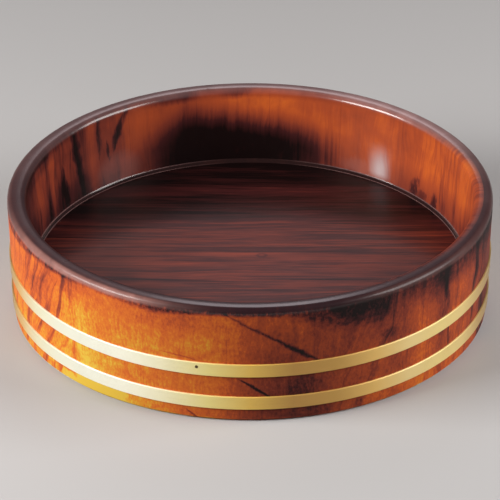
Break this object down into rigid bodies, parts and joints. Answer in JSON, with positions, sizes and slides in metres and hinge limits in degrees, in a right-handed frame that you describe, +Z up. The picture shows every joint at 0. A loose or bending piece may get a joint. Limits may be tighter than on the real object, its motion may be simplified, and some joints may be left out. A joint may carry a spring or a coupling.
{
  "type": "rice tub",
  "caption": "Shallow round wooden rice tub: pegged staves in a ring, a board bottom set in a groove, two flat brass hoops, clear lacquer, open top.",
  "frame": {"origin": "on the ground at the middle of the foot ring", "axes": "+Z up through the open top, front of the tub towards -Y, floor grain along X"},
  "size_m": [0.2698, 0.2698, 0.07],
  "materials": {
    "lacquered_wall": "figured wood under clear amber lacquer, high gloss, darker along the rim",
    "lacquered_floor": "dark straight-grained wood under clear lacquer, high gloss",
    "lacquer_bead": "lacquer putty, coated with the same clear lacquer",
    "brass_hoop": "pale brass strip, satin, lacquered",
    "brass_nail": "darkened brass",
    "bamboo": "plain split bamboo"
  },
  "bodies": {
    "root": {"stave_01": "lacquered_wall", "stave_02": "lacquered_wall", "stave_03": "lacquered_wall", "stave_04": "lacquered_wall", "stave_05": "lacquered_wall", "stave_06": "lacquered_wall", "stave_07": "lacquered_wall", "stave_08": "lacquered_wall", "stave_09": "lacquered_wall", "stave_10": "lacquered_wall", "stave_11": "lacquered_wall", "stave_12": "lacquered_wall", "stave_13": "lacquered_wall", "stave_14": "lacquered_wall", "stave_15": "lacquered_wall", "stave_16": "lacquered_wall", "stave_17": "lacquered_wall", "stave_18": "lacquered_wall", "bottom_board_1": "lacquered_floor", "bottom_board_2": "lacquered_floor", "bottom_board_3": "lacquered_floor", "bottom_board_4": "lacquered_floor", "bottom_board_5": "lacquered_floor", "upper_hoop": "brass_hoop", "lower_hoop": "brass_hoop", "hoop_nails": "brass_nail", "corner_bead": "lacquer_bead", "stave_pegs": "bamboo", "board_pegs": "bamboo"}
  },
  "joints": []
}
